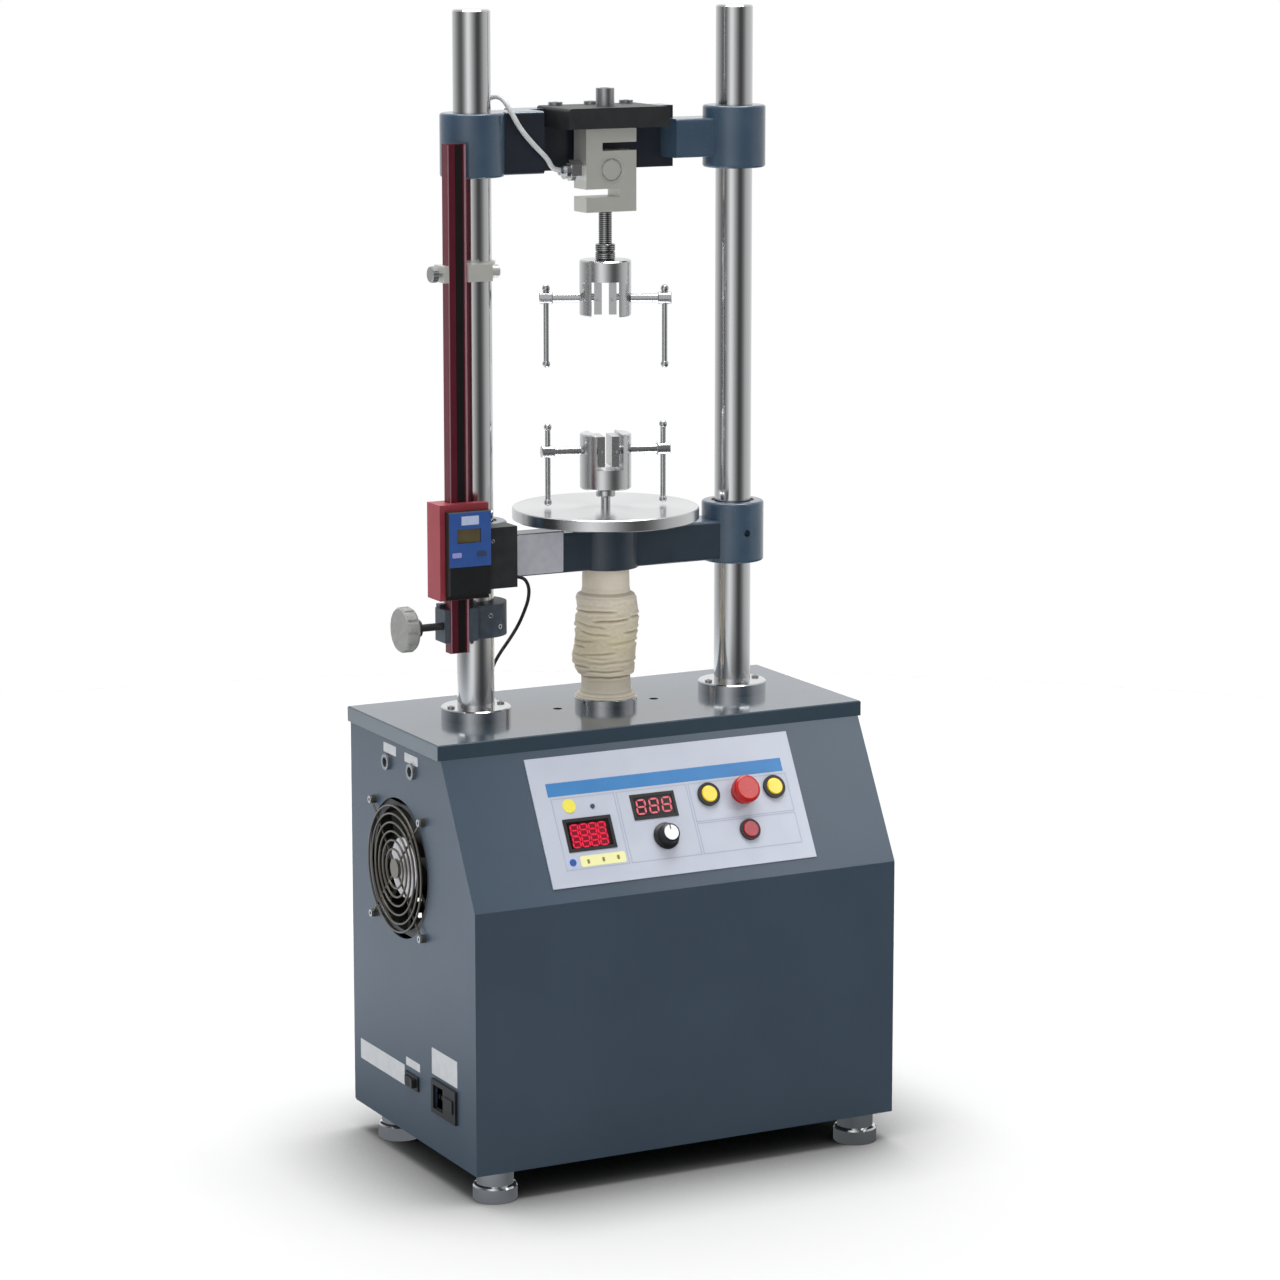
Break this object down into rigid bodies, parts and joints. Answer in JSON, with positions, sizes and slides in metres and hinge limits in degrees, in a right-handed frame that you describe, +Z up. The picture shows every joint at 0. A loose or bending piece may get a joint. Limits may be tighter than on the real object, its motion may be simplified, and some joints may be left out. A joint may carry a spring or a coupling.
{
  "type": "universal testing machine",
  "caption": "Benchtop tension and compression tester: cabinet with sloped controls, twin columns, load cell, vice grips, travelling crosshead with platen and scale.",
  "frame": {"origin": "point of the floor plane straight below the load axis, which runs up through both grips and the load cell", "axes": "+Z up along the load axis, +X to the right as seen from the control panel, -Y towards the operator"},
  "size_m": [0.4381, 0.2726, 1.044],
  "materials": {
    "cabinet_paint": "fine textured blue-grey powder coat",
    "table_finish": "glossy grey enamel on steel plate",
    "hard_chrome": "polished hard chrome",
    "casting_paint": "satin blue-grey paint on iron",
    "black_plate": "black oxide on ground steel",
    "nickel": "satin nickel plate",
    "bright_steel": "turned steel",
    "grip_steel": "ground steel",
    "screws": "zinc plated steel",
    "bronze": "plain bronze",
    "panel_film": "pale satin film on aluminium",
    "display_glass": "dark glossy window",
    "yellow_cap": "glossy",
    "red_cap": "glossy",
    "knob_grey": "satin",
    "black_plastic": "satin moulded",
    "guard_wire": "bright plated wire",
    "scale_red": "red anodised",
    "aluminium_drive": "cast and machined",
    "motor_paint": "black enamel",
    "belt_rubber": "matte",
    "bellows_cloth": "coated cloth",
    "cell_cable": "grey sheath",
    "readout_cable": "black sheath"
  },
  "bodies": {
    "frame": {"cabinet_shell": "cabinet_paint", "rear_cover": "cabinet_paint", "top_plate": "table_finish", "column_left": "hard_chrome", "column_right": "hard_chrome", "base_flanges": "hard_chrome", "machine_screws": "screws", "feet": "hard_chrome", "control_panel": "panel_film", "panel_displays": "display_glass", "fan_frame": "black_plastic", "fan_guard": "guard_wire", "power_inlet": "black_plastic", "signal_sockets": "guard_wire", "upper_crosshead": "casting_paint", "load_plate": "black_plate", "load_cell": "nickel", "load_stud": "bright_steel", "upper_grip_body": "bright_steel", "scale_beam": "scale_red", "scale_brackets": "black_plate", "drive_belt": "belt_rubber", "drive_frame": "aluminium_drive", "gear_motor": "motor_paint", "motor_drive": "black_plastic", "bellows": "bellows_cloth", "cable_glands": "nickel", "load_cell_cable": "cell_cable", "readout_cable": "readout_cable"},
    "crosshead": {"lower_crosshead": "casting_paint", "column_bushings": "bronze", "platen": "bright_steel", "lower_stud": "bright_steel", "lower_grip_body": "bright_steel", "ram_screw": "bright_steel", "readout_slider": "scale_red", "readout_housing": "black_plastic"},
    "drive_nut": {"drive_pulley": "bronze"},
    "motor_wheel": {"motor_pulley": "aluminium_drive"},
    "fan": {"fan_rotor": "black_plastic"},
    "rocker": {"power_rocker": "black_plastic"},
    "clamp_handle": {"clamp_knob": "black_plastic"},
    "thumbscrew": {"collar_thumbscrew": "guard_wire"},
    "up_key": {"up_button": "yellow_cap"},
    "down_key": {"down_button": "yellow_cap"},
    "stop_key": {"stop_button": "red_cap"},
    "red_key": {"red_button": "red_cap"},
    "speed_dial": {"speed_knob": "knob_grey"},
    "upper_left_jaw_body": {"upper_left_jaw": "grip_steel"},
    "upper_left_spindle_body": {"upper_left_spindle": "grip_steel"},
    "upper_left_bar_body": {"upper_left_bar": "grip_steel"},
    "upper_right_jaw_body": {"upper_right_jaw": "grip_steel"},
    "upper_right_spindle_body": {"upper_right_spindle": "grip_steel"},
    "upper_right_bar_body": {"upper_right_bar": "grip_steel"},
    "lower_left_jaw_body": {"lower_left_jaw": "grip_steel"},
    "lower_left_spindle_body": {"lower_left_spindle": "grip_steel"},
    "lower_left_bar_body": {"lower_left_bar": "grip_steel"},
    "lower_right_jaw_body": {"lower_right_jaw": "grip_steel"},
    "lower_right_spindle_body": {"lower_right_spindle": "grip_steel"},
    "lower_right_bar_body": {"lower_right_bar": "grip_steel"}
  },
  "joints": [
    {"name": "nut_spin", "type": "hinge", "parent": "frame", "child": "drive_nut", "pos_m": [0, 0, 0.354], "axis": [0, 0, 1], "range_deg": [-433, 6842]},
    {"name": "crosshead_slide", "type": "slide", "parent": "frame", "child": "crosshead", "axis": [0, 0, 1], "range_m": [-0.006, 0.095], "deforming": ["bellows", "readout_cable"]},
    {"name": "motor_spin", "type": "hinge", "parent": "frame", "child": "motor_wheel", "pos_m": [0.084, 0.03, 0.371], "axis": [0, 0, 1], "range_deg": [-866, 13684]},
    {"name": "fan_spin", "type": "hinge", "parent": "frame", "child": "fan", "pos_m": [-0.2, -0.0056, 0.273], "axis": [1, 0, 0], "continuous": true},
    {"name": "rocker_tilt", "type": "hinge", "parent": "frame", "child": "rocker", "pos_m": [-0.21, -0.0305, 0.07925], "axis": [0, 0, 1], "range_deg": [0, 12]},
    {"name": "clamp_turn", "type": "hinge", "parent": "frame", "child": "clamp_handle", "pos_m": [-0.2, -0.0285, 0.497], "axis": [1, 0, 0], "range_deg": [-720, 0]},
    {"name": "thumbscrew_turn", "type": "hinge", "parent": "frame", "child": "thumbscrew", "pos_m": [-0.185, -0.0285, 0.8135], "axis": [1, 0, 0], "range_deg": [-720, 0]},
    {"name": "up_press", "type": "slide", "parent": "frame", "child": "up_key", "axis": [0, 0.8738, -0.4862], "range_m": [0, 0.0015], "stiffness_N_per_m": 400, "springref_m": -0.002},
    {"name": "down_press", "type": "slide", "parent": "frame", "child": "down_key", "axis": [0, 0.8738, -0.4862], "range_m": [0, 0.0015], "stiffness_N_per_m": 400, "springref_m": -0.002},
    {"name": "red_press", "type": "slide", "parent": "frame", "child": "red_key", "axis": [0, 0.8738, -0.4862], "range_m": [0, 0.0015], "stiffness_N_per_m": 400, "springref_m": -0.002},
    {"name": "stop_press", "type": "slide", "parent": "frame", "child": "stop_key", "axis": [0, 0.8738, -0.4862], "range_m": [0, 0.0035], "stiffness_N_per_m": 800, "springref_m": -0.003},
    {"name": "speed_turn", "type": "hinge", "parent": "frame", "child": "speed_dial", "pos_m": [-0.0124, -0.14193, 0.30926], "axis": [0, -0.8738, 0.4862], "range_deg": [-150, 150]},
    {"name": "upper_left_jaw_slide", "type": "slide", "parent": "frame", "child": "upper_left_jaw_body", "axis": [0.891, -0.454, 0], "range_m": [-0.0015, 0.003]},
    {"name": "upper_left_spindle_turn", "type": "hinge", "parent": "upper_left_jaw_body", "child": "upper_left_spindle_body", "pos_m": [-0.02673, 0.01362, 0.7813], "axis": [0.891, -0.454, 0], "range_deg": [-361.5, 722]},
    {"name": "upper_left_bar_slide", "type": "slide", "parent": "upper_left_spindle_body", "child": "upper_left_bar_body", "axis": [0, 0, 1], "range_m": [0, 0.052]},
    {"name": "upper_right_jaw_slide", "type": "slide", "parent": "frame", "child": "upper_right_jaw_body", "axis": [-0.891, 0.454, 0], "range_m": [-0.0015, 0.003]},
    {"name": "upper_right_spindle_turn", "type": "hinge", "parent": "upper_right_jaw_body", "child": "upper_right_spindle_body", "pos_m": [0.02673, -0.01362, 0.7813], "axis": [-0.891, 0.454, 0], "range_deg": [-361.5, 722]},
    {"name": "upper_right_bar_slide", "type": "slide", "parent": "upper_right_spindle_body", "child": "upper_right_bar_body", "axis": [0, 0, 1], "range_m": [0, 0.052]},
    {"name": "lower_left_jaw_slide", "type": "slide", "parent": "crosshead", "child": "lower_left_jaw_body", "axis": [0.9659, -0.2588, 0], "range_m": [-0.0015, 0.003]},
    {"name": "lower_left_spindle_turn", "type": "hinge", "parent": "lower_left_jaw_body", "child": "lower_left_spindle_body", "pos_m": [-0.02898, 0.00777, 0.6412], "axis": [0.9659, -0.2588, 0], "range_deg": [-361.5, 722]},
    {"name": "lower_left_bar_slide", "type": "slide", "parent": "lower_left_spindle_body", "child": "lower_left_bar_body", "axis": [0, 0, 1], "range_m": [-0.001, 0.025]},
    {"name": "lower_right_jaw_slide", "type": "slide", "parent": "crosshead", "child": "lower_right_jaw_body", "axis": [-0.9659, 0.2588, 0], "range_m": [-0.0015, 0.003]},
    {"name": "lower_right_spindle_turn", "type": "hinge", "parent": "lower_right_jaw_body", "child": "lower_right_spindle_body", "pos_m": [0.02898, -0.00777, 0.6412], "axis": [-0.9659, 0.2588, 0], "range_deg": [-361.5, 722]},
    {"name": "lower_right_bar_slide", "type": "slide", "parent": "lower_right_spindle_body", "child": "lower_right_bar_body", "axis": [0, 0, 1], "range_m": [-0.001, 0.025]}
  ],
  "couplings": [
    {"joint": "nut_spin", "follows": "crosshead_slide", "rad_per_m": 1256.6},
    {"joint": "motor_spin", "follows": "crosshead_slide", "rad_per_m": 2513.3},
    {"joint": "upper_left_spindle_turn", "follows": "upper_left_jaw_slide", "rad_per_m": 4188.8},
    {"joint": "upper_right_spindle_turn", "follows": "upper_right_jaw_slide", "rad_per_m": 4188.8},
    {"joint": "lower_left_spindle_turn", "follows": "lower_left_jaw_slide", "rad_per_m": 4188.8},
    {"joint": "lower_right_spindle_turn", "follows": "lower_right_jaw_slide", "rad_per_m": 4188.8}
  ]
}
